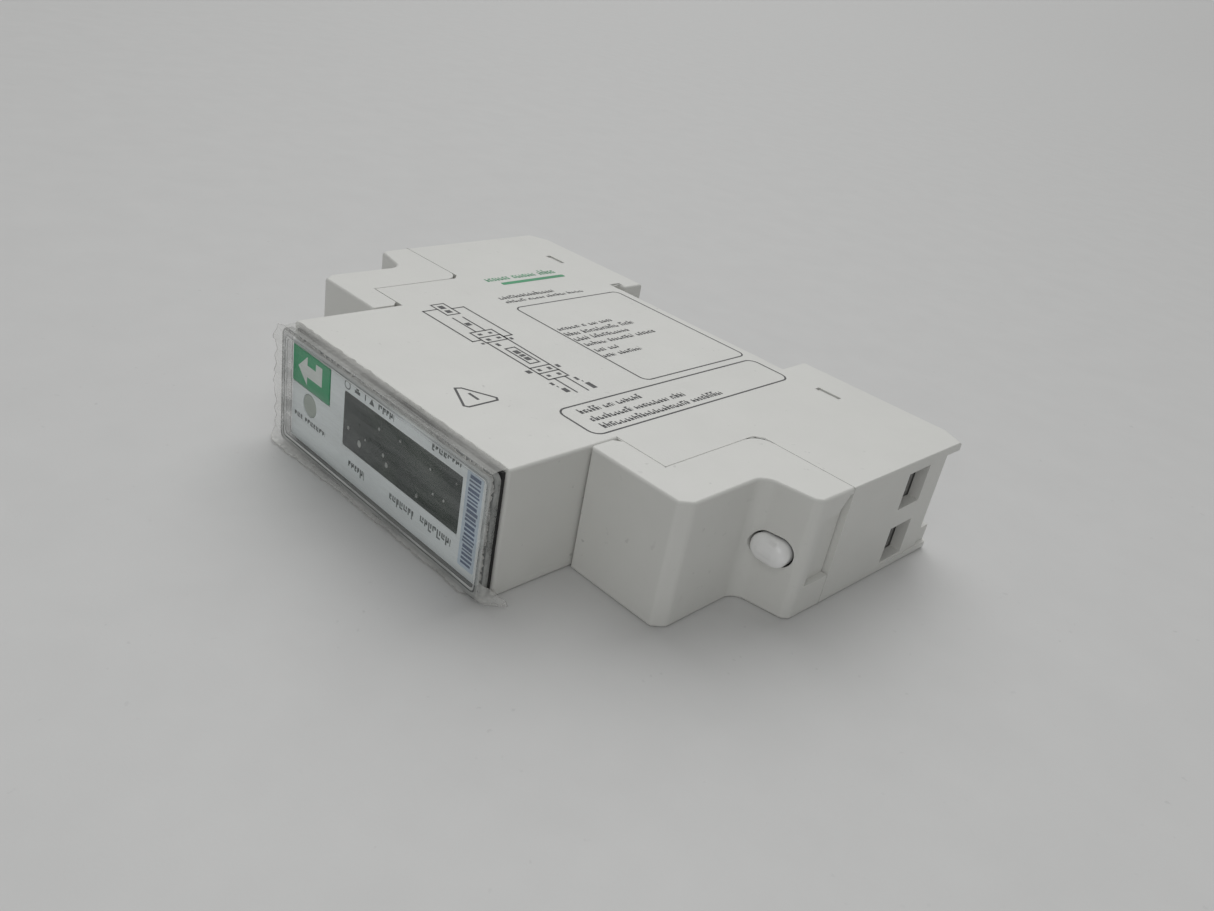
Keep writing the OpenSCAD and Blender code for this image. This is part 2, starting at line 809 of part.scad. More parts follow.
module storage_capacitors() {
    cap_r = 4;
    small_r = 3.1;
    color([0.12, 0.13, 0.22]) seat() {
        bar_y(-15, main_top + cap_r, cap_r, 12, 24.5);
        bar_y(-6.6, main_top + small_r, small_r, 10.5, 21.5);
    }
}

// A round part that lies on the main board with its axis along X
module board_drum(x, y, r, len) {
    translate([x, y, main_top + r]) rotate([0, 90, 0]) cylinder(r = r, h = len, center = true);
}

module surge_varistor() { color([0.12, 0.25, 0.62]) seat() board_drum(-9.2, 39.4, 4.5, 3.4); }
module fuse_resistor() { color([0.35, 0.50, 0.40]) seat() board_drum(15.5, 39, 1.9, 10); }

module supply_transformer() {
    color([0.24, 0.20, 0.18]) seat() {
        block([-10, 26.6, main_top], [3, 31.2, main_top + 8.6]);
        block([-8, 25.8, main_top + 1.4], [1, 26.7, main_top + 7.2]);
    }
}

// ---- Rail latch ----

module rail_latch() {
    slot_z = 2;
    nose_x = latch_x0 + 3.3;
    nose_y = back_y - 0.3;
    color([0.16, 0.16, 0.17]) seat() difference() {
        union() {
            block([nose_x - eps, latch_y0, latch_z0], [latch_x1, latch_y1, latch_z1]);
            // wedge-shaped nose that snaps over the rail's edge
            translate([0, 0, latch_z0]) linear_extrude(latch_z1 - latch_z0) polygon([
                [nose_x, latch_y0],
                [latch_x0, latch_y0],
                [latch_x0, latch_y0 + 0.8],
                [latch_x0 + 2.2, nose_y],
                [nose_x + 1.6, nose_y],
                [nose_x + 1.6, latch_y0]
            ]);
        }
        // window for the spring and its peg
        block([spring_x0 - 0.3, latch_y0 - 1, spring_z - slot_z],
              [peg_x + peg_t + 0.3, latch_y1 - 0.3, spring_z + slot_z]);
        // screwdriver slot in the outer end
        block([latch_x1 - 1.6, latch_y0 + 0.8, mid_z - 3], [latch_x1 - 0.7, back_y, mid_z + 3]);
    }
}

spring_turns = 7;
ring_steps = 14;
wire_sides = 8;

// A point on the surface of the coil: step along it, and side around the wire
function coil_point(step, side) =
    let (
        turn = step / ring_steps,
        at = turn * 360,
        around = side * 360 / wire_sides,
        r = spring_r - spring_wire_r + spring_wire_r * cos(around),
        length = peg_x - 0.1 - spring_x0 - 2 * spring_wire_r,
        x = spring_x0 + spring_wire_r + length * turn / spring_turns
    )
    [x + spring_wire_r * sin(around), r * cos(at), r * sin(at)];

module latch_spring() {
    rings = spring_turns * ring_steps;
    points = [for (step = [0:rings], side = [0:wire_sides - 1]) coil_point(step, side)];
    first_cap = [for (side = [0:wire_sides - 1]) side];
    last_cap = [for (side = [0:wire_sides - 1]) rings * wire_sides + wire_sides - 1 - side];
    skin = [
        for (step = [0:rings - 1], side = [0:wire_sides - 1])
            let (
                here = step * wire_sides,
                next = (side + 1) % wire_sides
            )
            [here + side, here + wire_sides + side, here + wire_sides + next, here + next]
    ];
    color("silver") seat() translate([0, latch_y0 + 1.3, spring_z])
        polyhedron(points = points, faces = concat([first_cap], skin, [last_cap]));
}

main_housing();
side_lid();
near_cover();
far_cover();
near_plug();
far_plug();
near_terminal_block();
far_terminal_block();
near_line_screw();
near_neutral_screw();
far_line_screw();
far_neutral_screw();
near_line_cage();
near_neutral_cage();
far_line_cage();
far_neutral_cage();
near_line_bar();
far_line_bar();
shunt_element();
neutral_bar();
sense_leads();
near_signal_block();
far_signal_block();
near_signal_clips();
far_signal_clips();
front_window();
window_gasket();
face_plate();
scroll_key();
key_plunger();
key_switch();
pulse_lens();
pulse_led();
lcd_glass();
lcd_frame();
backlight_diffuser();
backlight_leds();
contact_strips();
display_board();
display_chip();
board_header();
main_board();
processor_chip();
metering_chip();
clock_crystal();
optocouplers();
bridge_rectifier();
film_capacitor();
storage_capacitors();
surge_varistor();
fuse_resistor();
supply_transformer();
bus_driver_chip();
rail_latch();
latch_spring();
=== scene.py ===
"""Looks of the one-module smart electric meter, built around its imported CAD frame.

Lengths are in millimetres unless a comment says metres, and at() turns them into the model's frame.
"""

import json
import math
import random

import bmesh
import bpy
from mathutils import Matrix, Vector, noise


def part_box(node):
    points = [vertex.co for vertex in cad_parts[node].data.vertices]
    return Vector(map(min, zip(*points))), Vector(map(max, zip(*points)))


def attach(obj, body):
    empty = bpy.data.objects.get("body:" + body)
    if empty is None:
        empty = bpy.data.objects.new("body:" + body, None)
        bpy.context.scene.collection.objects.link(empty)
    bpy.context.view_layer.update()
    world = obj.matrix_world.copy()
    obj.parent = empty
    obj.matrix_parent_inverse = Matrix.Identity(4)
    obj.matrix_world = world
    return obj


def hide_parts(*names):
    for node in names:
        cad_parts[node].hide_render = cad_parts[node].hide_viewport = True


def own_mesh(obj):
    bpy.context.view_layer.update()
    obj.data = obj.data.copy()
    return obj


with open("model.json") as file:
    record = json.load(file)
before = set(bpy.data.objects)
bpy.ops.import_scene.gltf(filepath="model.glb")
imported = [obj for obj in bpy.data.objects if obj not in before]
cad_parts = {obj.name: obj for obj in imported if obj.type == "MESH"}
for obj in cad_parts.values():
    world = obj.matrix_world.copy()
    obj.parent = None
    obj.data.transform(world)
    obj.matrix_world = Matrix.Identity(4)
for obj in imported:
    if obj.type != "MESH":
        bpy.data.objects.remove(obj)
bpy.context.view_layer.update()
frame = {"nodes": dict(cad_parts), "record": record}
nodes = frame["nodes"]
mm = 0.001

front_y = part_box("main_housing")[0].y / mm
top_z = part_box("main_housing")[1].z / mm


def at(x, y, z):
    """A point in the model's frame, in metres, with y counted from the housing's front edge."""
    return Vector((x * mm, (y + front_y) * mm, z * mm))


# ---------------------------------------------------------------- camera

camera_data = bpy.data.cameras.new("camera")
camera_data.sensor_width = 36
camera_data.lens = 29.64
camera_data.clip_start = 0.005
camera = bpy.data.objects.new("camera", camera_data)
# the camera's place and axes, solved from the outline in the photograph
camera_place = at(92.364, -66.340, 71.616)
right = Vector((0.69167, 0.70261, 0.16711))
up = Vector((-0.43788, 0.22397, 0.87069))
back = right.cross(up)
camera_turn = Matrix((right, up, back)).transposed().to_4x4()
camera.matrix_world = Matrix.Translation(camera_place) @ camera_turn
bpy.context.scene.collection.objects.link(camera)
bpy.context.scene.camera = camera
bpy.context.scene.view_settings.view_transform = "Standard"


# ---------------------------------------------------------------- materials


class Nodes:
    """A small helper that builds a node tree in object coordinates."""

    def __init__(self, name):
        self.material = bpy.data.materials.new(name)
        self.material.use_nodes = True
        self.tree = self.material.node_tree
        self.tree.nodes.clear()
        self.out = self.add("ShaderNodeOutputMaterial")
        self.bsdf = self.add("ShaderNodeBsdfPrincipled")
        self.link(self.bsdf, "BSDF", self.out, "Surface")
        self.coords = self.add("ShaderNodeTexCoord")

    def add(self, kind, **values):
        node = self.tree.nodes.new(kind)
        for key, value in values.items():
            setattr(node, key, value)
        return node

    def link(self, a, a_socket, b, b_socket):
        self.tree.links.new(a.outputs[a_socket], b.inputs[b_socket])

    def noise(self, scale, detail=3, rough=0.55, stretch=(1, 1, 1)):
        mapping = self.add("ShaderNodeMapping")
        mapping.inputs["Scale"].default_value = stretch
        self.link(self.coords, "Object", mapping, "Vector")
        texture = self.add("ShaderNodeTexNoise")
        texture.inputs["Scale"].default_value = scale
        texture.inputs["Detail"].default_value = detail
        texture.inputs["Roughness"].default_value = rough
        self.link(mapping, "Vector", texture, "Vector")
        return texture

    def ramp(self, source, socket, stops):
        ramp = self.add("ShaderNodeValToRGB")
        while len(ramp.color_ramp.elements) < len(stops):
            ramp.color_ramp.elements.new(0.5)
        for element, (position, colour) in zip(ramp.color_ramp.elements, stops):
            element.position = position
            element.color = (*colour, 1)
        self.link(source, socket, ramp, "Fac")
        return ramp

    def mix(self, factor, a, b):
        mix = self.add("ShaderNodeMix", data_type="RGBA")
        self.tree.links.new(factor, mix.inputs["Factor"])
        for value, socket in ((a, 6), (b, 7)):
            if isinstance(value, tuple):
                mix.inputs[socket].default_value = (*value, 1)
            else:
                self.tree.links.new(value, mix.inputs[socket])
        return mix.outputs[2]

    def bump(self, source, socket, strength, distance):
        bump = self.add("ShaderNodeBump")
        bump.inputs["Strength"].default_value = strength
        bump.inputs["Distance"].default_value = distance
        self.link(source, socket, bump, "Height")
        return bump


def tint(colour, k):
    """The colour made k times as bright, up to white."""
    return tuple(min(1.0, c * k) for c in colour)


GLOSS_SPREAD = 0.08
GRAIN_DEPTH = 0.00004  # metres


def moulded(name, colour, rough=0.45, grain=0.25, specks=0.0, mottle=0.05, coat=0.0):
    """Moulded plastic, ink or paper: slow mottling, a fine grain, and a few dirt specks."""
    m = Nodes(name)
    slow = m.noise(90, 4)
    shades = [(0.3, tint(colour, 1 - mottle)), (0.7, tint(colour, 1 + mottle))]
    result = m.ramp(slow, "Fac", shades).outputs["Color"]
    if specks:
        dust = m.noise(850, 2, 0.4)
        spots = m.ramp(dust, "Fac", [(0.70, (0, 0, 0)), (0.76, (1, 1, 1))])
        area = m.noise(60, 2)
        patches = m.ramp(area, "Fac", [(0.45, (0, 0, 0)), (0.75, (specks,) * 3)])
        both = m.add("ShaderNodeMath", operation="MULTIPLY")
        m.tree.links.new(spots.outputs["Color"], both.inputs[0])
        m.tree.links.new(patches.outputs["Color"], both.inputs[1])
        result = m.mix(both.outputs[0], result, tint(colour, 0.45))
    m.tree.links.new(result, m.bsdf.inputs["Base Color"])
    fine = m.noise(2600, 2)
    gloss = m.noise(220, 3)
    shine = m.add("ShaderNodeMapRange")
    shine.inputs["To Min"].default_value = max(0.03, rough - GLOSS_SPREAD)
    shine.inputs["To Max"].default_value = min(1, rough + GLOSS_SPREAD)
    m.link(gloss, "Fac", shine, "Value")
    m.link(shine, "Result", m.bsdf, "Roughness")
    bump = m.bump(fine, "Fac", grain, GRAIN_DEPTH)
    m.link(bump, "Normal", m.bsdf, "Normal")
    m.bsdf.inputs["Coat Weight"].default_value = coat
    return m.material


def brushed(name, colour, rough=0.32):
    """Rolled or plated metal with fine streaks."""
    m = Nodes(name)
    streaks = m.noise(900, 4, 0.6, (1, 0.08, 1))
    tone = m.ramp(streaks, "Fac", [(0.3, tint(colour, 0.82)), (0.7, tint(colour, 1.1))])
    m.link(tone, "Color", m.bsdf, "Base Color")
    m.bsdf.inputs["Metallic"].default_value = 1.0
    shine = m.add("ShaderNodeMapRange")
    shine.inputs["To Min"].default_value = rough - 0.08
    shine.inputs["To Max"].default_value = rough + 0.14
    m.link(streaks, "Fac", shine, "Value")
    m.link(shine, "Result", m.bsdf, "Roughness")
    bump = m.bump(streaks, "Fac", 0.2, 0.00003)
    m.link(bump, "Normal", m.bsdf, "Normal")
    return m.material


def clear(name, colour, alpha, rough, streak=0.0, bump_size=0.0002, bump_scale=500):
    """Clear moulded plastic or film: mostly see-through, hazy, with flow streaks."""
    m = Nodes(name)
    cloud = m.noise(160, 4, 0.6)
    tone = m.ramp(cloud, "Fac", [(0.3, tint(colour, 0.9)), (0.7, tint(colour, 1.06))])
    m.link(tone, "Color", m.bsdf, "Base Color")
    lines = m.noise(420, 4, 0.65, (0.12, 1, 1))
    haze = m.add("ShaderNodeMapRange")
    haze.inputs["To Min"].default_value = max(0.0, alpha - streak)
    haze.inputs["To Max"].default_value = min(1.0, alpha + streak)
    haze.inputs["From Min"].default_value = 0.3
    haze.inputs["From Max"].default_value = 0.7
    m.link(lines, "Fac", haze, "Value")
    m.link(haze, "Result", m.bsdf, "Alpha")
    m.bsdf.inputs["Roughness"].default_value = rough
    m.bsdf.inputs["IOR"].default_value = 1.49
    waves = m.noise(bump_scale, 3)
    bump = m.bump(waves, "Fac", 0.3, bump_size)
    m.link(bump, "Normal", m.bsdf, "Normal")
    return m.material


def display_glass(name, dark, green):
    """Dark display glass with a slow green tint in its middle."""
    m = Nodes(name)
    cloud = m.noise(70, 2)
    tone = m.ramp(cloud, "Fac", [(0.35, dark), (0.65, green)])
    m.link(tone, "Color", m.bsdf, "Base Color")
    shine = m.ramp(m.noise(300, 2), "Fac", [(0.3, (0.16,) * 3), (0.7, (0.24,) * 3)])
    m.link(shine, "Color", m.bsdf, "Roughness")
    return m.material


shell = moulded("shell", (0.735, 0.735, 0.71), 0.42, grain=0.3, specks=0.5, mottle=0.02)
finishes = {
    "shell": shell,
    "plug_white": moulded(
        "plug_white", (0.96, 0.96, 0.96), 0.3, grain=0.02, mottle=0.015, coat=1.0
    ),
    "terminal_grey": moulded("terminal_grey", (0.42, 0.42, 0.41), 0.5),
    "signal_green": moulded("signal_green", (0.05, 0.24, 0.11), 0.45),
    "copper": brushed("copper", (0.80, 0.45, 0.28)),
    "shunt_alloy": brushed("shunt_alloy", (0.52, 0.47, 0.42), 0.42),
    "red_sleeve": moulded("red_sleeve", (0.50, 0.03, 0.02), 0.4),
    "clear_window": clear("clear_window", (0.72, 0.74, 0.74), 0.2, 0.12),
    "black_rubber": moulded("black_rubber", (0.02, 0.02, 0.02), 0.7),
    "face_print": moulded("face_print", (0.86, 0.91, 0.92), 0.35, grain=0.1, mottle=0.03),
    "key_green": moulded("key_green", (0.03, 0.37, 0.16), 0.35, grain=0.1, mottle=0.1),
    "black_plastic": moulded("black_plastic", (0.025, 0.025, 0.028), 0.45),
    "lens_grey": moulded("lens_grey", (0.46, 0.51, 0.46), 0.2, grain=0.05, mottle=0.1),
    "led_red": moulded("led_red", (0.45, 0.02, 0.02), 0.2),
    "display_dark": display_glass("display_dark", (0.022, 0.026, 0.030), (0.030, 0.046, 0.032)),
    "frame_white": moulded("frame_white", (0.66, 0.66, 0.64), 0.4),
    "strip_rubber": moulded("strip_rubber", (0.10, 0.10, 0.11), 0.7),
    "board_green": moulded("board_green", (0.012, 0.13, 0.05), 0.3, grain=0.2, mottle=0.2),
    "film_yellow": moulded("film_yellow", (0.75, 0.45, 0.05), 0.3),
    "cap_sleeve": moulded("cap_sleeve", (0.015, 0.02, 0.07), 0.3),
    "varistor_blue": moulded("varistor_blue", (0.02, 0.06, 0.32), 0.35),
    "resistor_paint": moulded("resistor_paint", (0.12, 0.24, 0.15), 0.4),
    "transformer_dark": moulded("transformer_dark", (0.06, 0.045, 0.035), 0.5),
    "steel": brushed("steel", (0.70, 0.71, 0.73)),
}

for part in frame["record"]["subparts"]:
    mesh = nodes[part["node"]].data
    mesh.materials.clear()
    mesh.materials.append(finishes[part["material_slot"]])


SEAM_WEIGHT = 0.06
SHARP_ANGLE = math.radians(24)
FLAT_ANGLE = math.radians(1)
WELD_DISTANCE = 0.000002  # metres


def edge_weights(zones):
    """Geometry nodes that weight the sharp edges for the bevel.

    An edge weighs almost nothing where its middle lies in a zone.
    """
    tree = bpy.data.node_groups.new("edge_weights", "GeometryNodeTree")
    for way in ("INPUT", "OUTPUT"):
        tree.interface.new_socket("Geometry", in_out=way, socket_type="NodeSocketGeometry")

    def add(kind, **values):
        node = tree.nodes.new(kind)
        for key, value in values.items():
            setattr(node, key, value)
        return node

    def link(a, b):
        tree.links.new(a, b)

    position = add("GeometryNodeInputPosition").outputs[0]
    inside = None
    for low, high in zones:
        centre, half = (low + high) / 2, (high - low) / 2
        offset = add("ShaderNodeVectorMath", operation="SUBTRACT")
        link(position, offset.inputs[0])
        offset.inputs[1].default_value = centre
        size = add("ShaderNodeVectorMath", operation="ABSOLUTE")
        link(offset.outputs[0], size.inputs[0])
        within = add(
            "FunctionNodeCompare", data_type="VECTOR", mode="ELEMENT", operation="LESS_THAN"
        )
        vectors = [socket for socket in within.inputs if socket.type == "VECTOR"]
        link(size.outputs[0], vectors[0])
        vectors[1].default_value = half
        if inside is None:
            inside = within.outputs[0]
        else:
            either = add("FunctionNodeBooleanMath", operation="OR")
            link(inside, either.inputs[0])
            link(within.outputs[0], either.inputs[1])
            inside = either.outputs[0]
    weight = add("ShaderNodeMapRange")
    weight.inputs["To Min"].default_value = 1.0
    weight.inputs["To Max"].default_value = SEAM_WEIGHT
    if inside is None:
        weight.inputs["Value"].default_value = 0.0
    else:
        link(inside, weight.inputs["Value"])
    sharp = add("FunctionNodeCompare", data_type="FLOAT", operation="GREATER_THAN")
    link(add("GeometryNodeInputMeshEdgeAngle").outputs["Unsigned Angle"], sharp.inputs[0])
    sharp.inputs[1].default_value = SHARP_ANGLE
    store = add("GeometryNodeStoreNamedAttribute", data_type="FLOAT", domain="EDGE")
    store.inputs["Name"].default_value = "bevel_weight_edge"
    link(sharp.outputs[0], store.inputs["Selection"])
    link(weight.outputs[0], store.inputs["Value"])
    link(add("NodeGroupInput").outputs[0], store.inputs["Geometry"])
    link(store.outputs["Geometry"], add("NodeGroupOutput").inputs[0])
    return tree


def soften(name, width, zones=(), clamp=True):
    """Rounds the edges of a CAD node with modifiers and leaves its mesh as it is."""
    node = nodes[name]
    mesh = node.data
    if "custom_normal" in mesh.attributes:
        mesh.attributes.remove(mesh.attributes["custom_normal"])
    mesh.polygons.foreach_set("use_smooth", [True] * len(mesh.polygons))
    weld = node.modifiers.new("weld", "WELD")
    weld.merge_threshold = WELD_DISTANCE
    flat = node.modifiers.new("flat", "DECIMATE")
    flat.decimate_type = "DISSOLVE"
    flat.angle_limit = FLAT_ANGLE
    weights = node.modifiers.new("weights", "NODES")
    weights.node_group = edge_weights([(at(*low), at(*high)) for low, high in zones])
    bevel = node.modifiers.new("bevel", "BEVEL")
    bevel.width = width * mm
    bevel.segments = 3
    bevel.limit_method = "WEIGHT"
    bevel.use_clamp_overlap = clamp
    normals = node.modifiers.new("normals", "WEIGHTED_NORMAL")
    normals.keep_sharp = False
    normals.weight = 60


# boxes, by their low and high corners, in which edges stay crisp: the seams between the covers,
# the lid and the housing, the notches, the plug holes, the wire entries and the snap slots
seam_zones = [
    ((22.3, 13.0, -1), (31.2, 36.3, 19)),
    ((30.0, 34.0, -1), (48, 36.3, 19)),
    ((-31.2, 12.9, -1), (-23.3, 34.6, 19)),
    ((-48, 32.2, -1), (-30.0, 34.6, 19)),
    ((-48, 48.6, 0.6), (48, 64, 17.0)),
    ((-36, 56.0, 15), (30, 57.5, 19)),
    ((44.4, 29.0, 4.0), (48, 36.3, 17.2)),
    ((-48, 27.0, 4.0), (-44.4, 34.6, 17.2)),
    ((38.0, 20.0, 6.2), (44.6, 34.0, 11.3)),
    ((-44.6, 20.0, 6.2), (-38.0, 34.0, 11.3)),
    ((-48, -1, 1.0), (48, 64, 1.4)),
]
for name in ("main_housing", "side_lid", "near_cover", "far_cover"):
    soften(name, 0.45, seam_zones, clamp=False)
for name, width in {
    "near_terminal_block": 0.12,
    "far_terminal_block": 0.12,
    "rail_latch": 0.25,
    "scroll_key": 0.12,
    "face_plate": 0.05,
    "near_line_cage": 0.15,
    "near_neutral_cage": 0.15,
    "far_line_cage": 0.15,
    "far_neutral_cage": 0.15,
    "near_signal_block": 0.1,
    "far_signal_block": 0.1,
    "pulse_lens": 0.3,
}.items():
    soften(name, width)


# ---------------------------------------------------------------- mesh helpers


def piece(name, bm, material, body="main", smooth=False):
    """Turns a bmesh into an object that rides on a body."""
    mesh = bpy.data.meshes.new(name)
    bmesh.ops.recalc_face_normals(bm, faces=bm.faces)
    bm.to_mesh(mesh)
    bm.free()
    mesh.materials.append(material)
    if smooth:
        mesh.polygons.foreach_set("use_smooth", [True] * len(mesh.polygons))
    made = bpy.data.objects.new(name, mesh)
    bpy.context.scene.collection.objects.link(made)
    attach(made, body)
    return made


def rounded(x0, y0, x1, y1, r, steps=5):
    """Points of a rounded rectangle, anticlockwise."""
    points = []
    corners = (
        (x1 - r, y0 + r, -90),
        (x1 - r, y1 - r, 0),
        (x0 + r, y1 - r, 90),
        (x0 + r, y0 + r, 180),
    )
    for cx, cy, start in corners:
        for i in range(steps + 1):
            a = math.radians(start + 90 * i / steps)
            points.append((cx + r * math.cos(a), cy + r * math.sin(a)))
    return points


class Print:
    """Flat ink strokes on a plane; place() turns its two lengths into a point."""

    def __init__(self, place):
        self.bm = bmesh.new()
        self.place = place
        self.random = random.Random(7)

    def polygon(self, points):
        self.bm.faces.new([self.bm.verts.new(self.place(*p)) for p in points])

    def bar(self, x0, y0, x1, y1):
        self.polygon([(x0, y0), (x1, y0), (x1, y1), (x0, y1)])

    def line(self, a, b, width):
        a, b = Vector(a), Vector(b)
        along = (b - a).normalized() * width / 2
        side = Vector((-along.y, along.x))
        a, b = a - along, b + along
        self.polygon([tuple(p) for p in (a - side, b - side, b + side, a + side)])

    def loop(self, points, width):
        """A closed outline of even width."""
        n = len(points)
        inner, outer = [], []
        for i in range(n):
            p, q, s = (Vector(points[k]) for k in (i - 1, i, (i + 1) % n))
            d1, d2 = (q - p).normalized(), (s - q).normalized()
            n1, n2 = Vector((d1.y, -d1.x)), Vector((d2.y, -d2.x))
            m = (n1 + n2) / max(0.2, 1 + n1.dot(n2))
            outer.append(tuple(q + m * width / 2))
            inner.append(tuple(q - m * width / 2))
        for i in range(n):
            j = (i + 1) % n
            self.polygon([outer[i], outer[j], inner[j], inner[i]])

    def words(self, start, end, x, height, lengths):
        """A line of generic marks along y, in groups, in place of text."""
        gap = 0.6
        y = start
        total = sum(lengths) + gap * (len(lengths) - 1)
        scale = (end - start) / total
        for length in lengths:
            stop = y + length * scale
            while y < stop - 0.1:
                step = min(stop - y, self.random.uniform(0.6, 0.95))
                tall = height * self.random.choice((0.62, 0.62, 0.8, 1.0))
                foot = x + height / 2
                stem = min(0.25, step * 0.36)
                wide = max(stem, step - 0.2)
                self.bar(foot - tall, y, foot, y + stem)
                self.bar(foot - tall * 0.55, y + wide - stem, foot, y + wide)
                across = foot - tall * self.random.choice((0.12, 0.5, 0.9))
                self.bar(across - 0.13, y + stem, across + 0.13, y + wide)
                y += step
            y = stop + gap * scale


# ---------------------------------------------------------------- print on the side wall

INK_LIFT = 0.012  # how far print stands over its surface

ink = moulded("black_ink", (0.035, 0.035, 0.038), 0.5, grain=0.1, mottle=0.2)
green_ink = moulded("green_ink", (0.005, 0.29, 0.11), 0.45, grain=0.1, mottle=0.15)

side = Print(lambda x, y: at(x, y, top_z + INK_LIFT))
side.loop(rounded(-16.5, 33.3, 12.0, 55.9, 1.2), 0.27)
side.loop(rounded(13.5, 15.0, 20.9, 55.4, 1.5), 0.29)
for start, end, x, groups in (
    (33.9, 45.4, -7.2, (5, 1, 2, 3)),
    (33.7, 48.2, -5.1, (3, 8, 3)),
    (33.7, 45.1, -3.1, (3, 8)),
    (33.9, 49.0, -1.1, (4, 5, 4)),
    (33.9, 38.6, 1.1, (2, 2)),
    (33.6, 41.4, 3.1, (2, 4)),
):
    side.words(start, end, x, 1.25, groups)
for start, end, x, groups in (
    (17.5, 28.9, 15.1, (4, 2, 5)),
    (17.4, 35.3, 17.3, (8, 7, 3)),
    (17.5, 41.0, 19.3, (18, 7)),
):
    side.words(start, end, x, 1.3, groups)
side.words(33.5, 45.1, -20.7, 1.35, (10,))
side.words(33.5, 50.2, -18.9, 0.95, (6, 5, 6, 5))

# connection diagram
diagram_width = 0.28
side.loop([(-21.8, 21.3), (-21.8, 23.6), (-17.6, 23.6), (-17.6, 21.3)], diagram_width)
side.bar(-21.1, 21.9, -19.9, 22.9)
side.bar(-19.3, 21.9, -18.3, 22.9)
for a, b in (
    ((-20.1, 18.7), (-20.1, 21.3)),
    ((-20.1, 18.7), (-8.2, 18.7)),
    ((-8.2, 18.7), (-8.2, 20.3)),
    ((-19.6, 23.6), (-19.6, 25.8)),
    ((-19.6, 25.8), (-8.1, 25.8)),
    ((-8.1, 25.8), (-8.1, 24.2)),
    ((-16.4, 21.4), (-10.9, 21.4)),
    ((-16.2, 23.1), (-10.9, 23.1)),
    ((-8.9, 20.3), (-8.9, 24.2)),
    ((-7.1, 20.4), (2.2, 20.4)),
    ((-8.6, 24.2), (2.2, 24.0)),
    ((4.1, 20.4), (4.1, 24.0)),
    ((6.1, 21.4), (10.6, 21.4)),
    ((6.1, 23.3), (10.8, 23.3)),
):
    side.line(a, b, diagram_width)
side.loop([(-10.9, 20.3), (-10.9, 24.2), (-7.1, 24.2), (-7.1, 20.3)], diagram_width)
side.loop([(-4.4, 21.5), (-4.4, 23.2), (1.0, 23.2), (1.0, 21.5)], diagram_width)
side.loop([(2.2, 20.4), (2.2, 24.0), (6.1, 24.0), (6.1, 20.4)], diagram_width)
for x, y, w, h in (
    (-14.2, 21.7, 1.0, 0.9),
    (-10.2, 21.0, 0.6, 0.7),
    (-10.2, 22.9, 0.6, 0.6),
    (-8.3, 21.0, 0.7, 0.7),
    (-8.3, 22.9, 0.6, 0.7),
    (-3.4, 21.9, 1.1, 0.9),
    (-2.0, 21.9, 0.7, 0.9),
    (-1.0, 21.9, 1.0, 0.9),
    (2.8, 21.0, 0.7, 0.6),
    (2.8, 22.8, 0.8, 0.6),
    (4.8, 21.0, 0.6, 0.6),
    (4.8, 22.8, 0.7, 0.6),
    (-7.3, 19.4, 0.5, 0.5),
    (-6.4, 21.2, 0.9, 0.6),
    (-7.4, 24.6, 0.7, 0.5),
    (2.6, 24.5, 0.9, 0.6),
    (2.6, 19.1, 0.9, 0.8),
    (6.9, 19.7, 0.8, 0.5),
    (8.0, 20.0, 0.5, 0.2),
    (8.9, 20.0, 1.2, 0.8),
    (6.9, 24.1, 0.9, 0.5),
    (8.1, 24.5, 0.4, 0.2),
    (8.9, 24.4, 1.8, 0.8),
):
    side.bar(x, y, x + w, y + h)

# triangle with a short bar in it
side.loop([(3.0, 7.2), (3.3, 8.0), (7.4, 10.4), (8.0, 10.1), (8.0, 5.6), (7.5, 5.2)], 0.33)
side.bar(4.9, 7.75, 6.9, 8.15)
piece("side_print", side.bm, ink)

mark = Print(lambda x, y: at(x, y, top_z + INK_LIFT))
mark.words(36.7, 51.9, -28.3, 2.0, (4, 4, 3))
mark.polygon(rounded(-26.3, 38.4, -25.3, 52.2, 0.3))
piece("side_mark", mark.bm, green_ink)


# ---------------------------------------------------------------- seam, plugs and spring

# lip under the near cover's edge, which closes the seam just below the surface
lip_depth, lip_width = 0.07, 0.3
lip = Print(lambda x, y: at(x, y, top_z - lip_depth))
lip_path = [
    (22.7, 17.2),
    (30.5, 17.2),
    (30.5, 32.9),
    (30.9, 34.2),
    (31.7, 34.9),
    (33.0, 35.2),
    (45.4, 35.2),
]
for a, b in zip(lip_path, lip_path[1:]):
    lip.line(a, b, lip_width)
lip.polygon([(30.4, 32.7), (31.1, 33.9), (31.9, 34.7), (33.1, 35.3), (31.4, 35.3), (30.4, 34.3)])
piece("seam_lip", lip.bm, shell)


def bridge(bm, a, b):
    """Faces between two closed rings of as many points."""
    n = len(a)
    for i in range(n):
        j = (i + 1) % n
        bm.faces.new((a[i], a[j], b[j], b[i]))


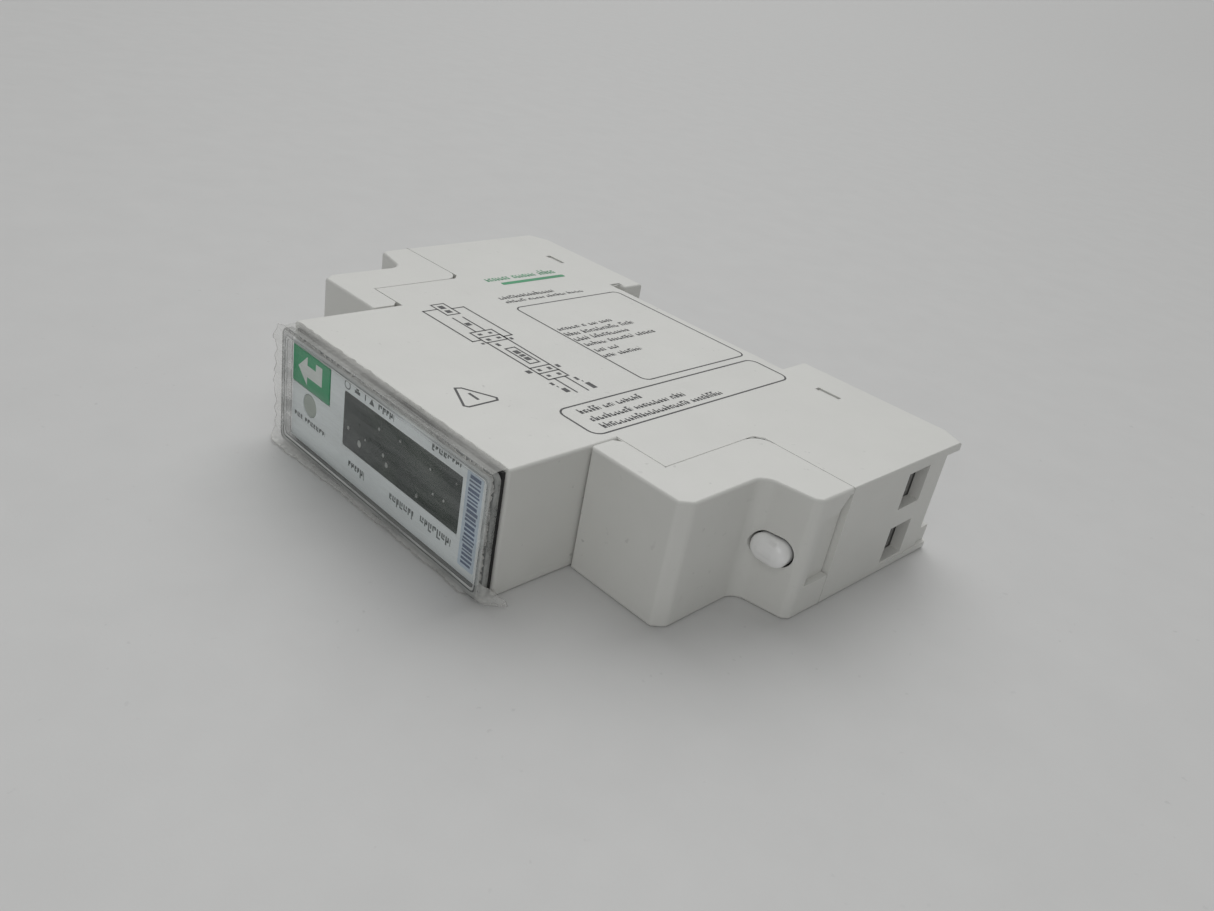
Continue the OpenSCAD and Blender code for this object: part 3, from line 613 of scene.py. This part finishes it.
def plug_cap(name):
    """A plug with a domed oblong head, a thumbnail nick in its top edge and a round shank."""
    low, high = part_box(name)
    middle = (low + high) / 2 / mm
    # the cap leaves a narrow gap in its hole and stands a little out of it
    gap, proud = 0.24, 0.5
    length, height = (high.x - low.x) / mm - gap, (high.z - low.z) / mm - gap
    front = low.y / mm - front_y - proud
    dome, crown, head, shank_r, nick_r = 1.2, 0.12, 3.3, 1.3, 0.8
    nick = Vector((middle.x + 0.3, front + 0.35, middle.z + height / 2 - 0.05))
    inner = height / 2 - 0.06
    crown_steps, dome_steps = 6, 10
    rows = []
    for k in range(crown_steps):
        inset = inner + (dome - inner) * k / crown_steps
        depth = crown * (k / crown_steps) ** 2
        rows.append((front + depth, length - 2 * inset, height - 2 * inset))
    for k in range(dome_steps + 1):
        a = math.radians(90 * k / dome_steps)
        inset = dome * (1 - math.sin(a))
        y = front + crown + (dome - crown) * (1 - math.cos(a))
        rows.append((y, length - 2 * inset, height - 2 * inset))
    rows.append((front + head, length, height))
    rows.append((front + head, shank_r * 2, shank_r * 2))
    rows.append((high.y / mm - front_y, shank_r * 2, shank_r * 2))
    bm = bmesh.new()
    rings = []
    for y, span, tall in rows:
        corner_r = min(span, tall) / 2 - 0.001
        ring_points = rounded(-span / 2, -tall / 2, span / 2, tall / 2, corner_r, 14)
        made = []
        for x, z in ring_points:
            p = Vector((middle.x + x, y, middle.z + z))
            away = p - nick
            if away.length < nick_r:
                p = nick + Vector((away.x, abs(away.y) + 0.01, away.z)).normalized() * nick_r
            made.append(bm.verts.new(at(*p)))
        rings.append(made)
    for a, b in zip(rings, rings[1:]):
        bridge(bm, a, b)
    bm.faces.new(rings[0])
    bm.faces.new(rings[-1])
    cap = piece(name + "_cap", bm, finishes["plug_white"], name, smooth=True)
    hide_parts(name)


plug_cap("near_plug")
plug_cap("far_plug")


def thread(bm, points, radius, closed=False, sides=5):
    """A thin round tube through the points, with its radius in metres."""
    n = len(points)
    rings = []
    for i, p in enumerate(points):
        before = points[i - 1] if i or closed else p
        after = points[(i + 1) % n] if i < n - 1 or closed else p
        along = (after - before).normalized()
        side = along.orthogonal().normalized()
        over = along.cross(side)
        rings.append(
            [
                bm.verts.new(p + (side * math.cos(a) + over * math.sin(a)) * radius)
                for a in (2 * math.pi * k / sides for k in range(sides))
            ]
        )
    pairs = list(zip(rings, rings[1:])) + ([(rings[-1], rings[0])] if closed else [])
    for a, b in pairs:
        start = min(range(sides), key=lambda k: (a[0].co - b[k].co).length)
        for k in range(sides):
            m = (k + 1) % sides
            bm.faces.new((a[k], a[m], b[(start + m) % sides], b[(start + k) % sides]))


# the latch's return spring, which the latch presses against its peg, in metres
spring_low, spring_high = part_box("latch_spring")
wire_r, turns, steps = 0.00022, 7, 24
centre = (spring_low + spring_high) / 2
coil_r = (spring_high.z - spring_low.z) / 2 - wire_r
span = spring_high.x - spring_low.x - 2 * wire_r
bm = bmesh.new()
coil = []
for i in range(turns * steps + 1):
    a = 2 * math.pi * i / steps
    x = spring_low.x + wire_r + span * i / (turns * steps)
    coil.append(Vector((x, centre.y + coil_r * math.cos(a), centre.z + coil_r * math.sin(a))))
thread(bm, coil, wire_r, sides=8)
spring = piece("spring_coil", bm, finishes["steel"], smooth=True)
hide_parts("latch_spring")
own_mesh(spring)


# ---------------------------------------------------------------- print on the face plate

plate_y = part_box("face_plate")[0].y / mm - front_y
key_low, key_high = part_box("scroll_key")

blue_ink = moulded("blue_ink", (0.12, 0.17, 0.28), 0.5, grain=0.1, mottle=0.3)
pale_ink = moulded("pale_ink", (0.62, 0.72, 0.82), 0.5, grain=0.1, mottle=0.1)
white_ink = moulded("white_ink", (0.74, 0.78, 0.75), 0.4, grain=0.1, mottle=0.08)
grey_ink = moulded("grey_ink", (0.13, 0.15, 0.15), 0.5, grain=0.1, mottle=0.3)

# how far each layer stands over the plate
PANE_LIFT, STRIP_LIFT, CODE_LIFT = 0.004, 0.010, 0.016

# words() runs along its second length, which is x here
face = Print(lambda z, x: at(x, plate_y - INK_LIFT, z))
for x0, x1, z, tall, lengths in (
    (-20.3, -12.3, 5.2, 1.0, (3, 7)),
    (-6.5, -2.6, 3.9, 1.25, (3,)),
    (3.0, 8.4, 4.0, 1.25, (6,)),
    (9.6, 16.0, 4.3, 1.25, (7,)),
    (-0.6, 2.9, 15.0, 0.9, (4,)),
    (10.6, 16.4, 15.1, 0.9, (6,)),
):
    face.words(x0, x1, z, tall, lengths)
face.place = lambda x, z: at(x, plate_y - INK_LIFT, z)
face.loop(rounded(-8.2, 14.5, -7.0, 15.5, 0.45), 0.16)
face.bar(-5.9, 14.7, -4.7, 15.1)
face.bar(-5.6, 15.15, -5.0, 15.4)
face.bar(-3.6, 14.6, -3.4, 15.5)
face.polygon([(-2.6, 14.6), (-1.5, 14.6), (-2.05, 15.5)])
piece("face_marks", face.bm, grey_ink)

# the display's dark polariser, which fills its opening in the plate
pane = Print(lambda x, z: at(x, plate_y - PANE_LIFT, z))
pane.polygon(rounded(-8.15, 6.2, 16.75, 14.05, 0.35))
piece("display_pane", pane.bm, finishes["display_dark"])

strip = Print(lambda x, z: at(x, plate_y - STRIP_LIFT, z))
strip.polygon(rounded(17.4, 2.6, 20.4, 15.6, 0.3))
piece("face_strip", strip.bm, pale_ink)

code = Print(lambda x, z: at(x, plate_y - CODE_LIFT, z))
pattern = random.Random(11)
z = 3.1
while z < 15.1:
    tall = pattern.uniform(0.22, 0.5)
    code.bar(17.8 + pattern.uniform(0, 0.2), z, 20.0 - pattern.uniform(0, 0.25), z + tall)
    z += tall + pattern.uniform(0.16, 0.34)
piece("face_code", code.bm, blue_ink)

key_face_y = key_low.y / mm - front_y
arrow = Print(lambda x, z: at(x, key_face_y - INK_LIFT, z))
cx, cz = (key_low.x + key_high.x) / 2 / mm, (key_low.z + key_high.z) / 2 / mm
arrow.polygon(
    [
        (cx - 3.2, cz),
        (cx - 0.9, cz + 2.1),
        (cx - 0.9, cz + 0.85),
        (cx + 1.2, cz + 0.85),
        (cx + 1.2, cz + 1.9),
        (cx + 2.8, cz + 1.9),
        (cx + 2.8, cz - 0.85),
        (cx - 0.9, cz - 0.85),
        (cx - 0.9, cz - 2.1),
    ]
)
piece("key_arrow", arrow.bm, white_ink, "scroll_key")


# ---------------------------------------------------------------- clear window

window_low, window_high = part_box("front_window")
# the moulded rim stands a little proud of the plain block it replaces
rim_left, rim_right = window_low.x / mm - 0.35, window_high.x / mm + 0.5
rim_low, rim_high = window_low.z / mm + 0.1, window_high.z / mm + 0.2
y_front = window_low.y / mm - front_y
rim_back = -1.25


def ring(bm, y, inset, r):
    """Points round the window at a depth y, inset from the rim's outline."""
    points = rounded(rim_left + inset, rim_low + inset, rim_right - inset, rim_high - inset, r, 6)
    return [bm.verts.new(at(x, y, z)) for x, z in points]


# colour, opacity, roughness, spread of the opacity, depth of the waves in metres, and their scale
rim_material = clear("window_rim", (0.52, 0.53, 0.52), 0.50, 0.2, 0.30, 0.0002, 700)
# the pale bead material paints a highlight line on the clear rim
painted_highlight_material = clear("window_painted_highlight", (0.80, 0.81, 0.80), 0.55, 0.15, 0.40, 0.0001, 900)
# the dark edge material paints shade as dark lines along the rim's edges
painted_shade_material = clear("window_painted_shade", (0.18, 0.19, 0.19), 0.55, 0.25, 0.35, 0.0001, 900)
pane_material = clear("window_pane", (0.60, 0.62, 0.62), 0.09, 0.08, 0.15, 0.00004, 120)


def hoop(name, rows, material):
    """A frame swept round the window from rows of depth, inset and corner radius."""
    bm = bmesh.new()
    rings = [ring(bm, *row) for row in rows]
    for a, b in zip(rings, rings[1:]):
        bridge(bm, a, b)
    return piece(name, bm, material, smooth=True)


rim = hoop(
    "window_frame",
    [
        (y_front + 1.0, 1.0, 0.6),
        (rim_back, 1.0, 0.6),
        (rim_back, 0.0, 1.0),
        (y_front + 0.40, 0.0, 1.0),
        (y_front + 0.16, 0.06, 1.0),
        (y_front + 0.04, 0.18, 1.0),
        (y_front, 0.40, 0.9),
        (y_front + 0.02, 0.80, 0.7),
    ],
    rim_material,
)
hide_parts("front_window")
# dark strip along the rim's outer front edge that paints shade there
hoop(
    "window_lip_painted_shade",
    [
        (y_front + 0.30, -0.02, 1.0),
        (y_front + 0.12, 0.05, 1.0),
        (y_front, 0.16, 1.0),
        (y_front - 0.02, 0.24, 1.0),
    ],
    painted_shade_material,
)
# dark strip in the rim's groove that paints shade there
hoop(
    "window_groove_painted_shade",
    [
        (y_front + 0.02, 0.80, 0.7),
        (y_front + 0.14, 0.85, 0.65),
        (y_front + 0.14, 0.95, 0.6),
        (y_front + 0.02, 1.0, 0.6),
    ],
    painted_shade_material,
)
# pale strip round the rim's inner step that paints a highlight line on the clear plastic
hoop(
    "window_painted_highlight",
    [
        (y_front + 0.02, 1.0, 0.6),
        (y_front - 0.02, 1.08, 0.55),
        (y_front + 0.02, 1.2, 0.5),
        (y_front + 0.1, 1.28, 0.5),
    ],
    painted_highlight_material,
)
# dark strip between the highlight and the pane that paints a shadow line
hoop("window_painted_shade_line", [(y_front + 0.1, 1.28, 0.5), (y_front + 0.16, 1.36, 0.5)], painted_shade_material)

bm = bmesh.new()
bm.faces.new(ring(bm, y_front + 0.16, 1.36, 0.5))
piece("window_pane", bm, pane_material)

# snap legs of the window
leg_wide, leg_long, leg_thick, leg_y = 4, 4.4, 0.6, 1.45
bm = bmesh.new()
for x in (-13, 13):
    for z in (1.3, 15.6):
        corners = bmesh.ops.create_cube(bm, size=1)["verts"]
        for v in corners:
            y = leg_y + v.co.y * leg_long
            v.co = at(x + v.co.x * leg_wide, y, z + 0.3 + v.co.z * leg_thick)
legs = piece("window_legs", bm, pane_material)
leg_edge = legs.modifiers.new("bevel", "BEVEL")
leg_edge.width = 0.12 * mm
leg_edge.segments = 2

# protective film over the window, lifted and creased along its edges
film_material = clear("film", (0.84, 0.84, 0.82), 0.34, 0.16, 0.22, 0.0005, 800)
crease_material = clear("film_crease", (0.66, 0.65, 0.62), 0.42, 0.35, 0.30, 0.0002, 900)
film_corner = Vector((rim_right, rim_low))


def film_edge(p, outward, t):
    """Where the film runs, from the rim at t = 0 to its free edge at t = 1.

    It reaches out past the left end, curls forward along the bottom, and leaves a tab at the
    lower right corner.
    """
    slow = noise.noise(Vector((p.x * 0.30, p.y * 0.30, 3.1)))
    wave = noise.noise(Vector((p.x * 0.9, p.y * 0.9, 9.7)))
    crinkle = noise.noise(Vector((p.x * 2.4, p.y * 2.4, 1.3)))
    left = max(0.0, -outward.x)
    right = max(0.0, outward.x)
    low = max(0.0, -outward.y)
    high = max(0.0, outward.y)
    along = (p.x - rim_left) / (rim_right - rim_left)
    corner = max(0.0, 1 - (film_corner - p).length / 3.0)
    reach_x = -left * (2.0 + 0.5 * slow + 0.5 * wave) + right * 0.1 + corner * (2.4 + 0.6 * wave)
    reach_z = high * 0.1 - low * (0.3 + 0.5 * wave) - left * 0.3 * wave
    curl = 1.3 * (1 - along) ** 2 + 0.3 * slow
    reach_y = left * (0.3 + 0.8 * wave) - low * curl + corner * 3.4
    ripple = 0.2 * crinkle * t
    x = p.x + reach_x * t + outward.x * (ripple - 0.4 * (1 - t))
    z = p.y + reach_z * t + outward.y * (ripple - 0.4 * (1 - t))
    y = y_front - 0.05 + reach_y * t * t + 0.25 * crinkle * t
    return x, y, max(0.1 + 0.12 * abs(crinkle), z)


film_spacing, film_steps = 0.25, 6
hem_r = 0.00004  # metres
inner = rounded(rim_left, rim_low, rim_right, rim_high, 0.9, 8)
dense = []
for i, p in enumerate(inner):
    q = inner[(i + 1) % len(inner)]
    count = max(1, int((Vector(q) - Vector(p)).length / film_spacing))
    for k in range(count):
        dense.append(Vector(p).lerp(Vector(q), k / count))
bm = bmesh.new()
rows = []
free_edge = []
for step in range(film_steps + 1):
    row = []
    for i, p in enumerate(dense):
        q, s = dense[i - 1], dense[(i + 1) % len(dense)]
        d = (s - q).normalized()
        place = at(*film_edge(p, Vector((d.y, -d.x)), step / film_steps))
        row.append(bm.verts.new(place))
        if step == film_steps:
            free_edge.append(place)
    rows.append(row)
for a, b in zip(rows, rows[1:]):
    bridge(bm, a, b)
piece("protective_film", bm, film_material, smooth=True)

bm = bmesh.new()
thread(bm, free_edge, hem_r, closed=True)
piece("film_hem", bm, crease_material, smooth=True)

# the film folded over the top of the rim and onto the side wall
fold_material = clear("film_fold", (0.46, 0.46, 0.44), 0.50, 0.35, 0.25, 0.0005, 900)
# how far back each row lies, and how high over the rim
fold_rows = (
    (y_front + 0.3, -0.02),
    (-1.5, 0.08),
    (-0.9, 0.12),
    (-0.35, 0.14),
    (0.0, 0.16),
    (0.18, 0.13),
)
fold_columns = 220
bm = bmesh.new()
rows = []
for index, (y, rise) in enumerate(fold_rows):
    row = []
    for i in range(fold_columns + 1):
        x = rim_left + (rim_right - 0.6 - rim_left) * i / fold_columns
        crinkle = noise.noise(Vector((x * 1.7, index * 0.7, 5.5)))
        fray = 0.3 * crinkle
        if index == len(fold_rows) - 1:
            fray = noise.noise(Vector((x * 0.8, 2.2, 7.7)))
        lift = 0.03 * crinkle if y > -0.4 else 0.1 * crinkle
        row.append(bm.verts.new(at(x, y + 0.35 * fray, rim_high + rise + lift)))
    rows.append(row)
for a, b in zip(rows, rows[1:]):
    for i in range(len(a) - 1):
        bm.faces.new((a[i], a[i + 1], b[i + 1], b[i]))
piece("film_fold", bm, fold_material, smooth=True)

# small air bubbles that the film traps in front of the display
bubble_material = clear("film_bubble", (0.74, 0.76, 0.74), 0.42, 0.25, 0.25, 0.0001, 900)
bubble_sides = 10
bm = bmesh.new()
for x, z, r in (
    (-5.7, 9.9, 0.28),
    (1.0, 12.9, 0.26),
    (-3.1, 8.8, 0.5),
    (-1.8, 10.0, 0.16),
    (5.5, 13.4, 0.2),
    (2.2, 9.8, 0.32),
    (3.0, 8.8, 0.4),
    (11.7, 12.7, 0.2),
    (12.6, 9.8, 0.2),
    (9.5, 7.9, 0.32),
    (14.7, 10.0, 0.2),
    (16.7, 13.4, 0.15),
):
    top = bm.verts.new(at(x, y_front - 0.02, z))
    hoops = []
    for scale, lift in ((0.55, -0.015), (1.0, 0.1)):
        made = []
        for k in range(bubble_sides):
            a = 2 * math.pi * k / bubble_sides
            across, over = r * 0.8 * scale * math.cos(a), r * scale * math.sin(a)
            made.append(bm.verts.new(at(x + across, y_front + lift, z + over)))
        hoops.append(made)
    for k in range(bubble_sides):
        m = (k + 1) % bubble_sides
        bm.faces.new((top, hoops[0][k], hoops[0][m]))
        bm.faces.new((hoops[0][k], hoops[1][k], hoops[1][m], hoops[0][m]))
piece("film_bubbles", bm, bubble_material, smooth=True)


# ---------------------------------------------------------------- floor and light

# a wide sheet, in metres, that lies flat round the object and rises gently far behind it, away
# from the camera
view = Vector((-back.x, -back.y)).normalized()
turn = Vector((-view.y, view.x))
flat_end, slope, floor_end = 1.5, math.tan(math.radians(7)), 14
half_width, bend = 14, 2
floor_steps, floor_columns = 50, 20
reaches = [-14, -7] + [-2 + 0.5 * i for i in range(7)]
reaches += [flat_end + (floor_end - flat_end) * i / floor_steps for i in range(floor_steps + 1)]
bm = bmesh.new()
grid = []
for reach in reaches:
    beyond = max(0.0, reach - flat_end)
    height = slope * beyond * beyond / (beyond + bend)
    row = []
    for j in range(floor_columns + 1):
        spot = view * reach + turn * half_width * (j / (floor_columns / 2) - 1)
        row.append(bm.verts.new((spot.x, spot.y, height)))
    grid.append(row)
for a, b in zip(grid, grid[1:]):
    for j in range(floor_columns):
        bm.faces.new((a[j], a[j + 1], b[j + 1], b[j]))
floor_mesh = bpy.data.meshes.new("floor")
bmesh.ops.recalc_face_normals(bm, faces=bm.faces)
bm.to_mesh(floor_mesh)
bm.free()
floor_mesh.polygons.foreach_set("use_smooth", [True] * len(floor_mesh.polygons))
floor = bpy.data.objects.new("floor", floor_mesh)
paper = moulded("paper", (0.665, 0.665, 0.665), 0.6, grain=0.2, specks=0.25, mottle=0.015)
floor_mesh.materials.append(paper)
bpy.context.scene.collection.objects.link(floor)

# the studio's walls light the object softly and are pale where a low view looks past the floor
world = bpy.data.worlds.new("studio")
world.use_nodes = True
world_nodes, wires = world.node_tree.nodes, world.node_tree.links
walls = world_nodes["Background"]
walls.inputs["Color"].default_value = (0.99, 1.0, 0.97, 1)
walls.inputs["Strength"].default_value = 0.24
distance = world_nodes.new("ShaderNodeBackground")
distance.inputs["Color"].default_value = (0.99, 1.0, 0.98, 1)
distance.inputs["Strength"].default_value = 0.50
rays = world_nodes.new("ShaderNodeLightPath")
choice = world_nodes.new("ShaderNodeMixShader")
wires.new(rays.outputs["Is Camera Ray"], choice.inputs["Fac"])
wires.new(walls.outputs["Background"], choice.inputs[1])
wires.new(distance.outputs["Background"], choice.inputs[2])
wires.new(choice.outputs["Shader"], world_nodes["World Output"].inputs["Surface"])
bpy.context.scene.world = world


def lamp(name, kind, place, power, spread):
    """A soft light that shines on the origin from a place, in metres."""
    data = bpy.data.lights.new(name, kind)
    data.energy = power
    if kind == "SUN":
        data.angle = math.radians(spread)
    else:
        data.size = spread
    made = bpy.data.objects.new(name, data)
    made.location = place
    made.rotation_mode = "QUATERNION"
    made.rotation_quaternion = (-Vector(place)).to_track_quat("-Z", "Y")
    bpy.context.scene.collection.objects.link(made)


lamp("sky_light", "SUN", (-0.8, 0.85, 1.5), 1.42, 62)
lamp("fill_light", "AREA", (0.35, -0.6, 0.5), 1.0, 0.6)

# ---------------------------------------------------------------- update

bpy.context.view_layer.update()
